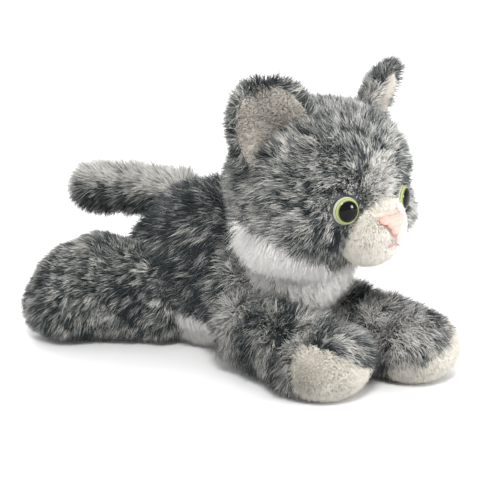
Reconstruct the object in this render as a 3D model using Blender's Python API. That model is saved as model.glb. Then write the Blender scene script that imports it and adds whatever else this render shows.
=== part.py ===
"""Lying plush cat, head raised: furry covers over stuffing, safety eyes, soft seams as joints.

Metres, +Z up. The body faces -Y and rests on z = 0; the cat's left is +X.
Lengths below are in millimetres and angles in degrees unless a comment says otherwise.
"""
import math

import bmesh
import bpy
from mathutils import Matrix, Vector

MM = 0.001

# Make-up of the covers.
GAP = 0.35            # air between neighbouring pieces
FUR = 5.5             # long-pile cover, backing and pile together
SWING_GAP = 0.9       # air around a piece that swings on its seam
HEAD_GAP = 1.4        # more air for the head, which swings about two axes
CUSHION = 2.0         # further air between the stuffing and what swings

# Torso: stations along Y as (y, half width, underside height, top height).
TORSO = (
    (-50, 17, 14, 44),
    (-44, 25, 7, 56),
    (-30, 32, 1, 69),
    (-8, 35, -2, 80),
    (18, 37, -2, 86),
    (36, 35, -2, 83),
    (48, 27, 1, 73),
    (54, 17, 12, 58),
)
TORSO_SIDES = 20
TORSO_SQUARE = 2.3    # exponent of the rounded cross-section
TORSO_TIP = 4.0       # how far the end caps bulge
BELLY_TOP = 19.0      # height of the seam between the belly panel and the sides
BIB_BACK = -37.0      # the chest bib lies in front of this Y
PELLET_FRONT = -4.0   # the bag of pellets lies behind this Y
PELLET_TOP = 24.0

# Head: its middle, half sizes across, fore and aft, and up, and its turn to the cat's left.
HEAD_AT = Vector((3.0, -55.0, 90.5))
HEAD_R = (47.0, 42.0, 41.0)
HEAD_TURN = 2.0
TURN_RANGE = (-25.0, 25.0)
NOD_RANGE = (-12.0, 15.0)
NECK_AT = Vector((2.0, -38.0, 62.0))
NECK_R = 14.0
RUFF_AT = 21.0        # distance of the ruff's seam from the middle of the head
RUFF_NORMAL = Vector((0.0, 0.62, -0.78))
GUSSET_HALF = 13.0    # half width of the forehead gusset
MUZZLE_AT = Vector((0.0, -27.5, -17.0))
MUZZLE_R = (22.0, 16.5, 19.0)

# Eyes: a clear dome over a coloured disc, on a post with a lock washer behind the cover.
EYE_AT = Vector((18.5, -33.0, -7.0))
EYE_OUT = 36.0        # angle an eye faces outwards
EYE_R = 6.1
EYE_HIGH = 4.2
IRIS_THICK = 0.8
POST_R = 2.0
POST_END = 13.0       # depth of the post's end behind the dome's base
WASHER_R = 6.0
WASHER_AT = 7.0       # depth of the washer's front face
WASHER_THICK = 1.6
POCKET_R = 7.4        # clearance pocket round the eye in the pile and in the stuffing

# Nose and mouth.
NOSE_Z = -13.0
NOSE_HALF = 4.8
NOSE_TALL = 5.4
NOSE_R = 2.2
THREAD_R = 0.55
MOUTH_DROP = 4.0
MOUTH_SPREAD = 4.2

# Ears: hinge point on the head, half sizes, outward lean, outward yaw and fold range.
EAR_AT = Vector((32.0, -2.0, 25.0))
EAR_R = (18.5, 5.5, 20.5)
EAR_MIDDLE = 10.0     # middle of the ear above its hinge
EAR_LEAN = 34.0
EAR_YAW = 22.0
EAR_FOLD = 20.0
EAR_RIM = 4.2         # furry border round the lining

# Front legs: shoulder, paw and the angle each leg points outwards.
SHOULDER = Vector((24.0, -38.0, 22.0))
SHOULDER_R = 20.5
PAW_REACH = {"left": 57.0, "right": 47.0}
PAW_R = (22.5, 22.0, 19.0)
PAW_HIGH = 19.0
FRONT_SPLAY = {"left": 2.0, "right": 0.0}
FRONT_SWING = (-2.0, 15.0)
TOE_TILT = 45.0       # the toe seam leans forwards by this much from upright
TOE_AT = 3.0          # distance of the toe seam in front of the paw's middle

# Hind legs.
HIP = Vector((25.0, 24.0, 25.0))
HIP_R = 24.0
FOOT_REACH = 47.0
FOOT_R = (26.0, 25.0, 27.0)
FOOT_HIGH = 27.0
HIND_SPLAY = {"left": 38.0, "right": 38.0}
HIND_SWING = (-6.0, 12.0)

# Tail.
TAIL_ROOT = Vector((0.0, 50.0, 66.0))
TAIL_REACH = 60.0
TAIL_SIDE = 15.0      # towards the cat's right
TAIL_RISE = 0.0
TAIL_ROOT_R = 12.5
TAIL_TIP_R = 11.5
TAIL_SWING = (-25.0, 25.0)

OPENING_R = 9.0       # sewn opening between a limb and the torso

SIDES = {"left": 1.0, "right": -1.0}


def clear_scene():
    for obj in list(bpy.data.objects):
        bpy.data.objects.remove(obj)


def material(name, colour, roughness, metallic=0.0, alpha=1.0):
    made = bpy.data.materials.new(name)
    made.use_nodes = True
    shader = made.node_tree.nodes["Principled BSDF"]
    shader.inputs["Base Color"].default_value = (*colour, 1.0)
    shader.inputs["Roughness"].default_value = roughness
    shader.inputs["Metallic"].default_value = metallic
    shader.inputs["Alpha"].default_value = alpha
    made.diffuse_color = (*colour, alpha)
    return made


def from_bmesh(name, bm):
    bmesh.ops.recalc_face_normals(bm, faces=bm.faces)
    mesh = bpy.data.meshes.new(name)
    bm.to_mesh(mesh)
    bm.free()
    obj = bpy.data.objects.new(name, mesh)
    bpy.context.scene.collection.objects.link(obj)
    return obj


def add_ball(bm, centre, radii, turn=None, segments=16, rings=10):
    """Adds an ellipsoid, in millimetres, turned by the matrix before it is placed."""
    scale = Matrix.Diagonal((*[r * MM for r in radii], 1.0))
    turned = turn.to_4x4() if turn else Matrix.Identity(4)
    place = Matrix.Translation(centre * MM) @ turned @ scale
    made = bmesh.ops.create_uvsphere(bm, u_segments=segments, v_segments=rings, radius=1.0)
    bmesh.ops.transform(bm, matrix=place, verts=made["verts"])
    return made["verts"]


def ball(name, centre, radii, turn=None, segments=16, rings=10):
    bm = bmesh.new()
    add_ball(bm, centre, radii, turn, segments, rings)
    return from_bmesh(name, bm)


def hull(name, balls, segments=14, rings=9):
    """Tight skin round several ellipsoids, each (centre, radii, turn)."""
    points = bmesh.new()
    for centre, radii, turn in balls:
        add_ball(points, centre, radii, turn, segments, rings)
    bm = bmesh.new()
    for vert in points.verts:
        bm.verts.new(vert.co)
    points.free()
    bmesh.ops.remove_doubles(bm, verts=bm.verts, dist=0.3 * MM)
    bmesh.ops.convex_hull(bm, input=bm.verts)
    inside = [vert for vert in bm.verts if not vert.link_faces]
    bmesh.ops.delete(bm, geom=inside, context="VERTS")
    flat = math.radians(1)
    bmesh.ops.dissolve_limit(bm, angle_limit=flat, verts=bm.verts, edges=bm.edges)
    bmesh.ops.triangulate(bm, faces=bm.faces)
    return from_bmesh(name, bm)


def rod(name, start, end, radius, sides=16):
    """Straight round rod between two points, in millimetres."""
    bm = bmesh.new()
    along = end - start
    place = Matrix.Translation((start + end) / 2 * MM)
    place = place @ along.to_track_quat("Z", "Y").to_matrix().to_4x4()
    bmesh.ops.create_cone(
        bm,
        cap_ends=True,
        segments=sides,
        radius1=radius * MM,
        radius2=radius * MM,
        depth=along.length * MM,
        matrix=place,
    )
    return from_bmesh(name, bm)


def half_space(name, point, normal, size=400.0):
    """Large box whose one face lies at the point; the box is on the side the normal points to."""
    bm = bmesh.new()
    place = Matrix.Translation((point + normal.normalized() * size / 2) * MM)
    place = place @ normal.to_track_quat("Z", "Y").to_matrix().to_4x4()
    bmesh.ops.create_cube(bm, size=size * MM, matrix=place)
    return from_bmesh(name, bm)


def carve(obj, other, operation="DIFFERENCE", keep_other=False):
    """Applies one exact Boolean to the object at once."""
    modifier = obj.modifiers.new("carve", "BOOLEAN")
    modifier.operation = operation
    modifier.solver = "EXACT"
    modifier.object = other
    graph = bpy.context.evaluated_depsgraph_get()
    mesh = bpy.data.meshes.new_from_object(obj.evaluated_get(graph))
    obj.modifiers.clear()
    obj.data = mesh
    if not keep_other:
        bpy.data.objects.remove(other)
    return obj


def slice_off(obj, point, normal):
    """Takes away what lies on the normal's side of a plane, and closes the flat cut."""
    bm = bmesh.new()
    bm.from_mesh(obj.data)
    everything = list(bm.verts) + list(bm.edges) + list(bm.faces)
    cut = bmesh.ops.bisect_plane(
        bm, geom=everything, dist=1e-7, plane_co=point * MM, plane_no=normal, clear_outer=True
    )
    rim = [item for item in cut["geom_cut"] if isinstance(item, bmesh.types.BMEdge)]
    caps = bmesh.ops.edgeloop_fill(bm, edges=rim)
    bmesh.ops.triangulate(bm, faces=caps["faces"])
    bmesh.ops.recalc_face_normals(bm, faces=bm.faces)
    bm.to_mesh(obj.data)
    bm.free()
    return obj


def copy_of(obj, name):
    twin = bpy.data.objects.new(name, obj.data.copy())
    twin.matrix_world = obj.matrix_world.copy()
    bpy.context.scene.collection.objects.link(twin)
    return twin


def finish(obj, look):
    obj.data.materials.clear()
    obj.data.materials.append(look)
    obj.data.shade_smooth()
    obj.data.set_sharp_from_angle(angle=math.radians(35))
    return obj


def turn_z(degrees):
    return Matrix.Rotation(math.radians(degrees), 3, "Z")


def torso_solid(name, inset):
    """Pear-shaped torso with a flat underside, drawn in by the inset."""
    bm = bmesh.new()
    rings = []
    for y, half, low, high in TORSO:
        if y == TORSO[0][0]:
            y += inset
        if y == TORSO[-1][0]:
            y -= inset
        middle = (low + high) / 2
        wide = half - inset
        tall = (high - low) / 2 - inset
        ring = []
        for i in range(TORSO_SIDES):
            angle = 2 * math.pi * i / TORSO_SIDES
            c, s = math.cos(angle), math.sin(angle)
            x = wide * math.copysign(abs(c) ** (2 / TORSO_SQUARE), c)
            z = middle + tall * math.copysign(abs(s) ** (2 / TORSO_SQUARE), s)
            ring.append(bm.verts.new(Vector((x, y, max(z, inset))) * MM))
        rings.append(ring)
    for one, two in zip(rings, rings[1:]):
        for i in range(TORSO_SIDES):
            j = (i + 1) % TORSO_SIDES
            bm.faces.new((one[i], one[j], two[j], two[i]))
    for ring, bulge in ((rings[0], -TORSO_TIP), (rings[-1], TORSO_TIP)):
        middle = sum((v.co for v in ring), Vector()) / len(ring)
        tip = bm.verts.new(middle + Vector((0, bulge * MM, 0)))
        for i in range(TORSO_SIDES):
            bm.faces.new((ring[i], ring[(i + 1) % TORSO_SIDES], tip))
    bmesh.ops.triangulate(bm, faces=bm.faces, quad_method="FIXED")
    return from_bmesh(name, bm)


def head_point(x, y, z):
    """World place of a point given from the middle of the head, before its turn."""
    return HEAD_AT + turn_z(HEAD_TURN) @ Vector((x, y, z))


def head_balls(grow, turn=0.0, nod=0.0):
    """The head's ellipsoid, grown, and moved by its two joints."""
    spin = Matrix.Rotation(math.radians(turn), 3, "Z")
    tip = Matrix.Rotation(math.radians(nod), 3, nod_axis())
    moved = spin @ tip
    centre = NECK_AT + moved @ (HEAD_AT - NECK_AT)
    return [(centre, [r + grow for r in HEAD_R], moved @ turn_z(HEAD_TURN))]


def head_solid(name, grow):
    return ball(name, *head_balls(grow)[0], 20, 12)


def nod_axis():
    """The nod turns about the head's own cross axis; a positive nod lowers the chin."""
    return turn_z(HEAD_TURN) @ Vector((1, 0, 0))


def front_frame(side, swing=0.0):
    """Shoulder, paw middle and turn of one front leg."""
    sign = SIDES[side]
    shoulder = Vector((SHOULDER.x * sign, SHOULDER.y, SHOULDER.z))
    outwards = turn_z(sign * (FRONT_SPLAY[side] + swing))
    paw = shoulder + outwards @ Vector((0, -PAW_REACH[side], 0))
    paw.z = PAW_HIGH
    return shoulder, paw, outwards


def front_balls(side, grow, swing=0.0):
    shoulder, paw, outwards = front_frame(side, swing)
    return [
        (shoulder, [SHOULDER_R + grow] * 3, outwards),
        (paw, [r + grow for r in PAW_R], outwards),
    ]


def hind_balls(side, grow, swing=0.0):
    sign = SIDES[side]
    hip = Vector((HIP.x * sign, HIP.y, HIP.z))
    outwards = turn_z(-sign * (HIND_SPLAY[side] + swing))
    foot = hip + outwards @ Vector((0, FOOT_REACH, 0))
    foot.z = FOOT_HIGH
    return [
        (hip, [HIP_R + grow] * 3, outwards),
        (foot, [r + grow for r in FOOT_R], outwards),
    ]


def tail_balls(grow, swing=0.0):
    along = turn_z(TAIL_SIDE + swing) @ Vector((0, TAIL_REACH, TAIL_RISE))
    return [
        (TAIL_ROOT, [TAIL_ROOT_R + grow] * 3, None),
        (TAIL_ROOT + along, [TAIL_TIP_R + grow] * 3, None),
    ]


def front_leg(name, side, grow):
    return hull(name, front_balls(side, grow))


def hind_leg(name, side, grow):
    return hull(name, hind_balls(side, grow))


def tail_solid(name, grow):
    return hull(name, tail_balls(grow), 12, 8)


def spread(limits):
    """Both ends of a joint's range, and the pose between."""
    return (limits[0], 0.0, limits[1])


def clear_head(obj, grow):
    """Cuts the space that the head, the neck and the tail sweep out of the torso."""
    poses = [(turn, nod) for turn in spread(TURN_RANGE) for nod in spread(NOD_RANGE)]
    carve(obj, hull("sweep", [b for turn, nod in poses for b in head_balls(grow, turn, nod)], 16, 10))
    carve(obj, ball("sweep", NECK_AT, [NECK_R + grow] * 3))
    carve(obj, hull("sweep", [b for swing in spread(TAIL_SWING) for b in tail_balls(grow, swing)]))


def clear_legs(obj, grow):
    """Cuts the space that the four legs sweep out of the torso."""
    for side in SIDES:
        swept = [b for swing in spread(FRONT_SWING) for b in front_balls(side, grow, swing)]
        carve(obj, hull("sweep", swept))
        swept = [b for swing in spread(HIND_SWING) for b in hind_balls(side, grow, swing)]
        carve(obj, hull("sweep", swept))


def part_of(name, block, cutters):
    """Copy of a block, cut by (point, normal) half spaces; what lies on the normal's side goes."""
    piece = copy_of(block, name)
    for point, normal in cutters:
        carve(piece, half_space("cut", point, normal))
    return keep_largest(piece)


def keep_largest(obj):
    """Leaves only the largest connected body of the mesh."""
    bm = bmesh.new()
    bm.from_mesh(obj.data)
    bmesh.ops.remove_doubles(bm, verts=bm.verts, dist=2e-6)
    bmesh.ops.dissolve_degenerate(bm, edges=bm.edges, dist=2e-6)
    left = set(bm.verts)
    groups = []
    while left:
        seed = left.pop()
        group, edge = {seed}, [seed]
        while edge:
            for link in edge.pop().link_edges:
                for vert in link.verts:
                    if vert not in group:
                        group.add(vert)
                        edge.append(vert)
        left -= group
        groups.append(group)
    groups.sort(key=extent, reverse=True)
    for group in groups[1:]:
        bmesh.ops.delete(bm, geom=list(group), context="VERTS")
    bm.to_mesh(obj.data)
    bm.free()
    return obj


def extent(group):
    """Diagonal of a group of vertices, which tells a large body from a crumb."""
    low = [min(v.co[i] for v in group) for i in range(3)]
    high = [max(v.co[i] for v in group) for i in range(3)]
    return (Vector(high) - Vector(low)).length


def torso_piece(name, cuts, look):
    """Piece of the torso's cover between plane cuts, hollow and clear of what swings."""
    piece = torso_solid(name, 0.0)
    for point, normal in cuts:
        slice_off(piece, point, normal)
    clear_head(piece, HEAD_GAP)
    clear_legs(piece, SWING_GAP)
    carve(piece, torso_solid("hollow", FUR))
    return finish(keep_largest(piece), look)


def build_torso(looks):
    x, y, z = Vector((1, 0, 0)), Vector((0, 1, 0)), Vector((0, 0, 1))
    half = GAP / 2
    bib_edge = Vector((0, BIB_BACK, 0))
    belly_edge = Vector((0, 0, BELLY_TOP))
    for side, sign in SIDES.items():
        torso_piece("body_side_" + side, (
            (bib_edge + y * half, -y),
            (belly_edge + z * half, -z),
            (x * sign * half, -x * sign),
        ), looks["grey_pile"])
    torso_piece("belly_panel", (
        (bib_edge + y * half, -y),
        (belly_edge - z * half, z),
    ), looks["white_pile"])
    torso_piece("chest_bib", ((bib_edge - y * half, y),), looks["white_pile"])

    pellet_edge = Vector((0, PELLET_FRONT, PELLET_TOP))
    bag = torso_solid("pellet_bag", FUR + GAP)
    slice_off(bag, pellet_edge + y * half, -y)
    slice_off(bag, pellet_edge - z * half, z)
    clear_legs(bag, SWING_GAP + CUSHION)
    finish(keep_largest(bag), looks["liner"])
    filling = torso_solid("body_stuffing", FUR + GAP)
    room = torso_solid("room", 0.0)
    slice_off(room, pellet_edge - y * half, -y)
    slice_off(room, pellet_edge + z * half, z)
    clear_head(filling, HEAD_GAP + CUSHION)
    carve(filling, room)
    clear_legs(filling, SWING_GAP + CUSHION)
    finish(keep_largest(filling), looks["stuffing"])


def build_front_leg(side, looks):
    shoulder, paw, outwards = front_frame(side)
    cover = front_leg("cover", side, 0.0)
    carve(cover, front_leg("hollow", side, -FUR))
    inwards = Vector((-SIDES[side], 0.45, 0.25)).normalized()
    carve(cover, rod("opening", shoulder, shoulder + inwards * 2 * SHOULDER_R, OPENING_R))
    lean = Matrix.Rotation(math.radians(TOE_TILT), 3, "X")
    forwards = outwards @ lean @ Vector((0, -1, 0))
    seam = paw + outwards @ Vector((0, -TOE_AT, 0))
    toes = part_of("front_toe_panel_" + side, cover, ((seam + forwards * GAP / 2, -forwards),))
    finish(toes, looks["cream_short"])
    leg = part_of("front_leg_cover_" + side, cover, ((seam - forwards * GAP / 2, forwards),))
    finish(leg, looks["grey_pile"])
    bpy.data.objects.remove(cover)
    finish(front_leg("front_leg_stuffing_" + side, side, -FUR - GAP), looks["stuffing"])


def build_hind_leg(side, looks):
    hip = Vector((HIP.x * SIDES[side], HIP.y, HIP.z))
    cover = hind_leg("hind_leg_cover_" + side, side, 0.0)
    carve(cover, hind_leg("hollow", side, -FUR))
    inwards = Vector((-SIDES[side], -0.5, 0.3)).normalized()
    carve(cover, rod("opening", hip, hip + inwards * 2 * HIP_R, OPENING_R))
    finish(cover, looks["grey_pile"])
    finish(hind_leg("hind_leg_stuffing_" + side, side, -FUR - GAP), looks["stuffing"])


def build_tail(looks):
    cover = tail_solid("tail_cover", 0.0)
    carve(cover, tail_solid("hollow", -FUR))
    forwards = Vector((0, -2 * TAIL_ROOT_R, 0))
    carve(cover, rod("opening", TAIL_ROOT, TAIL_ROOT + forwards, OPENING_R * 0.6))
    finish(cover, looks["grey_pile"])
    finish(tail_solid("tail_stuffing", -FUR - GAP), looks["stuffing"])


def eye_frame(side):
    """Middle of the dome's base, and the way the eye faces."""
    sign = SIDES[side]
    at = head_point(EYE_AT.x * sign, EYE_AT.y, EYE_AT.z)
    outwards = turn_z(HEAD_TURN + sign * EYE_OUT) @ Vector((0, -1, 0))
    return at, outwards


def build_eye(side, looks):
    at, out = eye_frame(side)
    turn = out.to_track_quat("Z", "Y").to_matrix()
    dome = ball("eye_dome_" + side, at, (EYE_R, EYE_R, EYE_HIGH), turn, 16, 10)
    carve(dome, half_space("cut", at, -out))
    finish(dome, looks["clear"])
    front = at - out * GAP
    back = front - out * IRIS_THICK
    finish(rod("eye_iris_" + side, front, back, EYE_R - 0.2, 24), looks["iris"])
    start = back - out * GAP
    finish(rod("eye_post_" + side, start, at - out * POST_END, POST_R), looks["black"])
    washer = rod("eye_washer_" + side, at - out * WASHER_AT,
                 at - out * (WASHER_AT + WASHER_THICK), WASHER_R, 20)
    carve(washer, rod("hole", at, at - out * POST_END, POST_R + GAP))
    finish(washer, looks["black"])


def nose_solid(name, grow):
    front = MUZZLE_AT.y - MUZZLE_R[1] + NOSE_R * 0.55
    turn = turn_z(HEAD_TURN)
    radii = [NOSE_R + grow] * 3
    return hull(name, [
        (head_point(-NOSE_HALF, front + 1.6, NOSE_Z + NOSE_R), radii, turn),
        (head_point(NOSE_HALF, front + 1.6, NOSE_Z + NOSE_R), radii, turn),
        (head_point(0, front, NOSE_Z + NOSE_R), radii, turn),
        (head_point(0, front, NOSE_Z - NOSE_TALL + NOSE_R), radii, turn),
    ], 8, 6)


def mouth_solid(name, grow):
    """Upright thread under the nose that forks into two short strokes."""
    front = MUZZLE_AT.y - MUZZLE_R[1] + 0.6
    top_z = NOSE_Z - NOSE_TALL - 0.9
    fork_z = top_z - MOUTH_DROP
    top = head_point(0, front + 0.1, top_z)
    fork = head_point(0, front + 0.6, fork_z)
    thread = rod(name, top, fork, THREAD_R + grow, 8)
    for sign in SIDES.values():
        end = head_point(sign * MOUTH_SPREAD, front + 1.7, fork_z - 2.6)
        near = head_point(-sign * 0.3, front + 0.6, fork_z + 0.3)
        carve(thread, rod("stroke", near, end, THREAD_R + grow, 8), "UNION")
    return thread


def ear_frame(side):
    """Hinge point and turn of one ear: its X along the hinge, its Z up to the tip."""
    sign = SIDES[side]
    lean = Matrix.Rotation(math.radians(sign * EAR_LEAN), 3, "Y")
    yaw = Matrix.Rotation(math.radians(sign * EAR_YAW), 3, "Z")
    return head_point(EAR_AT.x * sign, EAR_AT.y, EAR_AT.z), turn_z(HEAD_TURN) @ lean @ yaw


def build_ear(side, looks):
    hinge, turn = ear_frame(side)
    middle = hinge + turn @ Vector((0, 0, EAR_MIDDLE))
    back = ball("ear_back_" + side, middle, EAR_R, turn, 16, 10)
    for fold in (-EAR_FOLD, -EAR_FOLD / 2, 0.0, EAR_FOLD / 2, EAR_FOLD):
        swept = head_solid("sweep", SWING_GAP)
        about = Matrix.Translation(hinge * MM)
        swing = Matrix.Rotation(math.radians(fold), 4, turn @ Vector((1, 0, 0)))
        swept.data.transform(about @ swing @ about.inverted())
        carve(back, swept)
    lining_r = (EAR_R[0] - EAR_RIM, EAR_R[1] - 1.0, EAR_R[2] - EAR_RIM)
    front = middle + turn @ Vector((0, -2.6, 0))
    lining = ball("ear_lining_" + side, front, lining_r, turn, 16, 10)
    carve(lining, back, "INTERSECT", keep_other=True)
    seat = ball("seat", front, [r + GAP for r in lining_r], turn, 16, 10)
    carve(back, seat)
    finish(keep_largest(lining), looks["taupe_short"])
    finish(keep_largest(back), looks["grey_pile"])


def build_head(looks):
    cover = head_solid("cover", 0.0)
    carve(cover, head_solid("hollow", -FUR))
    carve(cover, ball("socket", NECK_AT, [NECK_R + SWING_GAP] * 3))
    turn = turn_z(HEAD_TURN)
    grown = [r + GAP for r in MUZZLE_R]
    carve(cover, ball("muzzle_room", head_point(*MUZZLE_AT), grown, turn, 16, 10))
    carve(cover, nose_solid("nose_seat", GAP))
    filling = head_solid("head_stuffing", -FUR - GAP)
    carve(filling, ball("socket", NECK_AT, [NECK_R + SWING_GAP] * 3))
    for side in SIDES:
        at, out = eye_frame(side)
        floor = at - out * (GAP * 2 + IRIS_THICK + GAP)
        carve(cover, rod("pocket", floor, at + out * 20, POCKET_R, 24))
        carve(cover, rod("hole", at + out, at - out * POST_END, POST_R + GAP))
        carve(filling, rod("room", at + out * 20, at - out * (POST_END + 1), POCKET_R, 24))
    finish(keep_largest(filling), looks["stuffing"])

    ruff_out = turn @ RUFF_NORMAL.normalized()
    ruff_seam = HEAD_AT + ruff_out * RUFF_AT
    across = turn @ Vector((1, 0, 0))
    half = GAP / 2
    above = (ruff_seam - ruff_out * half, ruff_out)
    ruff = part_of("cheek_ruff", cover, ((ruff_seam + ruff_out * half, -ruff_out),))
    finish(ruff, looks["white_pile"])
    for side, sign in SIDES.items():
        edge = HEAD_AT + across * sign * GUSSET_HALF
        panel = part_of("head_side_" + side, cover, (above, (edge + across * sign * half, -across * sign)))
        finish(panel, looks["grey_pile"])
    gusset = part_of("forehead_gusset", cover, (above, *(
        (HEAD_AT + across * sign * (GUSSET_HALF - half), across * sign) for sign in SIDES.values()
    )))
    finish(gusset, looks["grey_pile"])
    bpy.data.objects.remove(cover)

    muzzle = ball("muzzle_panel", head_point(*MUZZLE_AT), MUZZLE_R, turn, 16, 10)
    carve(muzzle, head_solid("inside", -FUR + GAP / 2))
    for side in SIDES:
        at, out = eye_frame(side)
        carve(muzzle, rod("pocket", at - out * 12, at + out * 20, POCKET_R + GAP, 24))
    carve(muzzle, mouth_solid("mouth_seat", GAP))
    carve(muzzle, nose_solid("nose_seat", GAP))
    finish(keep_largest(muzzle), looks["cream_short"])
    finish(nose_solid("nose", 0.0), looks["pink"])
    finish(mouth_solid("mouth_stitch", 0.0), looks["thread"])
    for side in SIDES:
        build_eye(side, looks)
        build_ear(side, looks)
    finish(ball("neck_stuffing", NECK_AT, [NECK_R] * 3), looks["stuffing"])


def main():
    clear_scene()
    looks = {
        "grey_pile": material("grey_pile", (0.13, 0.15, 0.15), 0.95),
        "white_pile": material("white_pile", (0.72, 0.69, 0.65), 0.95),
        "cream_short": material("cream_short", (0.62, 0.57, 0.48), 0.95),
        "taupe_short": material("taupe_short", (0.36, 0.33, 0.29), 0.95),
        "stuffing": material("stuffing", (0.85, 0.85, 0.83), 1.0),
        "liner": material("liner", (0.5, 0.5, 0.48), 0.9),
        "pink": material("pink", (0.85, 0.42, 0.37), 0.8),
        "thread": material("thread", (0.55, 0.25, 0.27), 0.8),
        "clear": material("clear", (0.95, 0.95, 0.95), 0.05, alpha=0.35),
        "iris": material("iris", (0.33, 0.42, 0.14), 0.3),
        "black": material("black", (0.02, 0.02, 0.02), 0.35),
    }
    build_torso(looks)
    for side in SIDES:
        build_front_leg(side, looks)
        build_hind_leg(side, looks)
    build_tail(looks)
    build_head(looks)


main()
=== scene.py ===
"""Looks of the lying plush cat.

Long-pile covers are strands over soft skins; the short-pile panels, eyes, nose and mouth lie on top of them.
"""
import math

import bmesh
import bpy
import numpy as np
from mathutils import Matrix, Vector, kdtree


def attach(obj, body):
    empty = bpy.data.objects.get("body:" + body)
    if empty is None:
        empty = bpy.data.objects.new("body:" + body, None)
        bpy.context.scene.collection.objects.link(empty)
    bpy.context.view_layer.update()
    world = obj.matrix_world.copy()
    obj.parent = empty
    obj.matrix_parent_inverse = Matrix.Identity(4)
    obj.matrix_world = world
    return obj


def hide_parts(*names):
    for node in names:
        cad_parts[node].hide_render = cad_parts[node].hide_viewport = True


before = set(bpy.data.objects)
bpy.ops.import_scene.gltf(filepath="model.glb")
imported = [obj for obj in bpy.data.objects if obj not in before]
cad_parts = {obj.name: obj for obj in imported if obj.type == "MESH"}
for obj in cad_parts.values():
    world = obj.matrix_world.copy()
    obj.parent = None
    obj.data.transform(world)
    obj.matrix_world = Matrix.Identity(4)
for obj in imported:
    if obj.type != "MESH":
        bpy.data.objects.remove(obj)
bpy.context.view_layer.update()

MM = 0.001
SIDES = {"left": 1.0, "right": -1.0}

# Where the pieces sit, in millimetres and degrees; close to the part's own dimensions.
HEAD_AT = np.array((3.0, -55.0, 90.5))
HEAD_TURN = 2.0
EYE_AT = (18.5, -33.0, -7.0)
EYE_OUT = 19.0
EAR_AT = (32.0, -2.0, 25.0)
EAR_LEAN = 34.0
EAR_YAW = {"left": 31.0, "right": 22.0}
SHOULDER = (24.0, -38.0)
HIP = (25.0, 24.0)
PAW_REACH = {"left": 57.0, "right": 46.0}
FRONT_SPLAY = {"left": 2.0, "right": -4.0}
FRONT_LOW = 0.93    # the front legs lie this much flatter than round ones
PAW_HALF = {"left": 19.8, "right": 21}
PAW_MIDDLE = 17.0
TOE_HIGH = 2.0     # height of the toe seam over the middle of the paw
TOE_SLOPE = 0.5    # rise of the seam towards the outer side
TOE_BACK = 1.0     # how far behind the middle of the paw the seam starts
TOE_ROUND = 2.0    # softness of the corner of the toe seam
HIND_SPLAY = 38.0
FOOT_REACH = 47.0
TAIL_ROOT = np.array((0.0, 50.0, 66.0))
TAIL_SIDE = 15.0

# Strand colours, linear.
SLATE = np.array((0.020, 0.027, 0.030))
STEEL = np.array((0.150, 0.168, 0.165))
TAUPE = np.array((0.46, 0.45, 0.42))
PALE = np.array((0.66, 0.645, 0.61))
WHITE = np.array((0.93, 0.91, 0.88))
CREAM = np.array((0.80, 0.76, 0.68))
BEIGE = np.array((0.70, 0.655, 0.59))


def rot(axis, degrees):
    return np.array(Matrix.Rotation(math.radians(degrees), 3, axis))


HEAD_TURNED = rot("Z", HEAD_TURN)


def on_head(x, y, z):
    return HEAD_AT + HEAD_TURNED @ np.array((x, y, z))


def from_head(points):
    """World points, in millimetres, seen from the middle of the unturned head."""
    return (points - HEAD_AT) @ HEAD_TURNED


def leg_line(side, hind):
    """Start, direction and turn of a leg's middle line on the ground plan."""
    sign = SIDES[side]
    if hind:
        turn = rot("Z", -sign * HIND_SPLAY)
        return np.array((HIP[0] * sign, HIP[1], 0.0)), turn @ np.array((0, 1.0, 0)), turn
    turn = rot("Z", sign * FRONT_SPLAY[side])
    return np.array((SHOULDER[0] * sign, SHOULDER[1], 0.0)), turn @ np.array((0, -1.0, 0)), turn


def leg_balls(side, hind):
    """Ellipsoids along a leg, from rows of (way along it, height, half sizes)."""
    start, along, turn = leg_line(side, hind)
    up = np.array((0, 0, 1.0))
    if hind:
        rows = ((0, 24, (16.5, 16, 22.0)), (16, 26, (18, 17, 23.5)), (32, 27, (20, 18, 25)),
                (FOOT_REACH - 2, 23.5, (21, 19, 22.5)), (FOOT_REACH + 1, 17, (22.5, 21, 16.5)))
    else:
        reach = PAW_REACH[side]
        low = FRONT_LOW
        rows = ((0, 23 * low, (13, 15, 16.5)), (reach * 0.35, 20.5 * low, (14, 16, 16.5 * low)),
                (reach * 0.68, 18.4 * low, (16.8, 16, 16.4 * low)),
                (reach, 16.4 * low, (PAW_HALF[side], 18.8, 15.8 * low)))
    return [(start + along * t + up * z, r, turn) for t, z, r in rows]


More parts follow.
